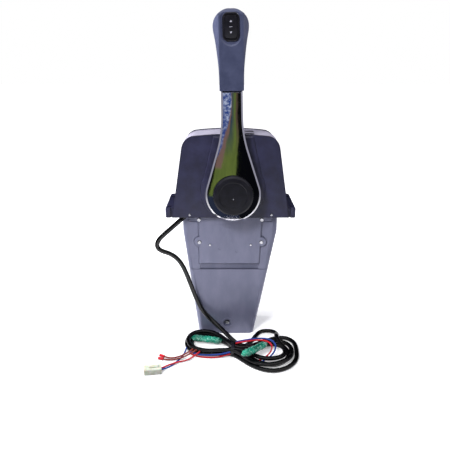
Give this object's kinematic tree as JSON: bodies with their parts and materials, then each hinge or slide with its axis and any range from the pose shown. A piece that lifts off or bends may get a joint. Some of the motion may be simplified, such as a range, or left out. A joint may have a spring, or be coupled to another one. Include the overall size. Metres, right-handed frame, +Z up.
{
  "type": "boat throttle control lever",
  "caption": "Top-mount single-lever engine control: lever with trim rocker and warm-up button on a deck flange, gear train and cable arms below, with its wiring harness",
  "frame": {"origin": "centre of the control's box in plan, on the surface that its foot stands on", "axes": "+Z up along the case and the neutral lever, +X ahead along the deck flange, lever on the -Y side"},
  "size_m": [0.2271, 0.179, 0.4765],
  "materials": {
    "black_moulding": "moulded glass-filled nylon, satin grain",
    "grey_casting": "grey paint on die-cast aluminium",
    "pale_strip": "moulded, satin",
    "chrome": "bright chrome plate on zinc casting",
    "grip_rubber": "soft-touch elastomer, satin",
    "switch_black": "moulded, semi-gloss",
    "button_black": "moulded, fine turned rings",
    "steel": "zinc plated",
    "gear_steel": "machined, greased",
    "bush_plastic": "acetal",
    "frame_metal": "die cast",
    "cable_black": "PVC sheath, semi-gloss",
    "green_tape": "PVC tape, creased",
    "wire_red": "PVC insulation",
    "wire_blue": "PVC insulation",
    "wire_brown": "PVC insulation",
    "plug_white": "nylon"
  },
  "bodies": {
    "control_box": {"base_flange": "black_moulding", "front_cover": "black_moulding", "rear_cover": "black_moulding", "top_panel": "pale_strip", "lower_case": "grey_casting", "cable_cover": "grey_casting", "access_plate": "grey_casting", "access_plate_screws": "steel", "plate_small_screws": "steel", "cable_cover_screw": "steel", "cover_screws": "steel", "case_screws": "steel", "mechanism_frame": "frame_metal", "frame_screws": "steel", "front_bush": "bush_plastic", "rear_bush": "bush_plastic", "pivot_pins": "gear_steel", "detent_leaf": "steel", "detent_roller": "gear_steel", "neutral_switch": "switch_black", "warning_buzzer": "switch_black", "harness_gland": "cable_black", "harness_lead": "cable_black", "harness_hank": "cable_black", "hank_tie": "switch_black", "taped_plug_left": "green_tape", "taped_plug_right": "green_tape", "wire_right_red": "wire_red", "wire_right_blue": "wire_blue", "wire_left_red": "wire_red", "wire_left_blue": "wire_blue", "wire_plug_blue": "wire_blue", "wire_plug_red": "wire_red", "wire_brown_a": "wire_brown", "wire_brown_b": "wire_brown", "trim_plug": "plug_white", "bullet_sleeves": "wire_red"},
    "lever": {"lever_arm": "chrome", "hub_collar": "black_moulding", "main_shaft": "gear_steel", "shaft_clip": "steel", "hub_bolt": "steel", "hub_washer": "steel", "shift_drive_gear": "gear_steel", "throttle_drive_gear": "gear_steel", "detent_disc": "gear_steel", "grip_front": "grip_rubber", "grip_rear": "grip_rubber", "grip_screws": "steel", "rocker_bezel": "switch_black", "trim_switch": "switch_black", "button_spring": "steel"},
    "trim_rocker": {"trim_rocker": "switch_black"},
    "throttle_only_button": {"throttle_only_button": "button_black"},
    "shift_linkage": {"shift_sector": "gear_steel", "shift_arm": "gear_steel"},
    "throttle_linkage": {"throttle_sector": "gear_steel", "throttle_arm": "gear_steel"}
  },
  "joints": [
    {"name": "lever_turn", "type": "hinge", "parent": "control_box", "child": "lever", "pos_m": [0.0033, -0.043, 0.2413], "axis": [0, 1, 0], "range_deg": [-65, 85]},
    {"name": "trim_rock", "type": "hinge", "parent": "lever", "child": "trim_rocker", "pos_m": [-0.0008, -0.052, 0.45496], "axis": [0.9998, 0, 0.0192], "range_deg": [-8, 8], "stiffness_Nm_per_rad": 0.6},
    {"name": "button_push", "type": "slide", "parent": "lever", "child": "throttle_only_button", "axis": [0, 1, 0], "range_m": [0, 0.0035], "stiffness_N_per_m": 900, "springref_m": -0.002, "deforming": ["button_spring"]},
    {"name": "shift_arm_turn", "type": "hinge", "parent": "control_box", "child": "shift_linkage", "pos_m": [0.0033, 0, 0.1913], "axis": [0, 1, 0], "range_deg": [-57, 44]},
    {"name": "throttle_arm_turn", "type": "hinge", "parent": "control_box", "child": "throttle_linkage", "pos_m": [0.0033, 0.025, 0.1913], "axis": [0, 1, 0], "range_deg": [-79, 61]}
  ],
  "couplings": [
    {"joint": "shift_arm_turn", "follows": "lever_turn", "ratio": -0.66667},
    {"joint": "throttle_arm_turn", "follows": "lever_turn", "ratio": -0.92308}
  ]
}
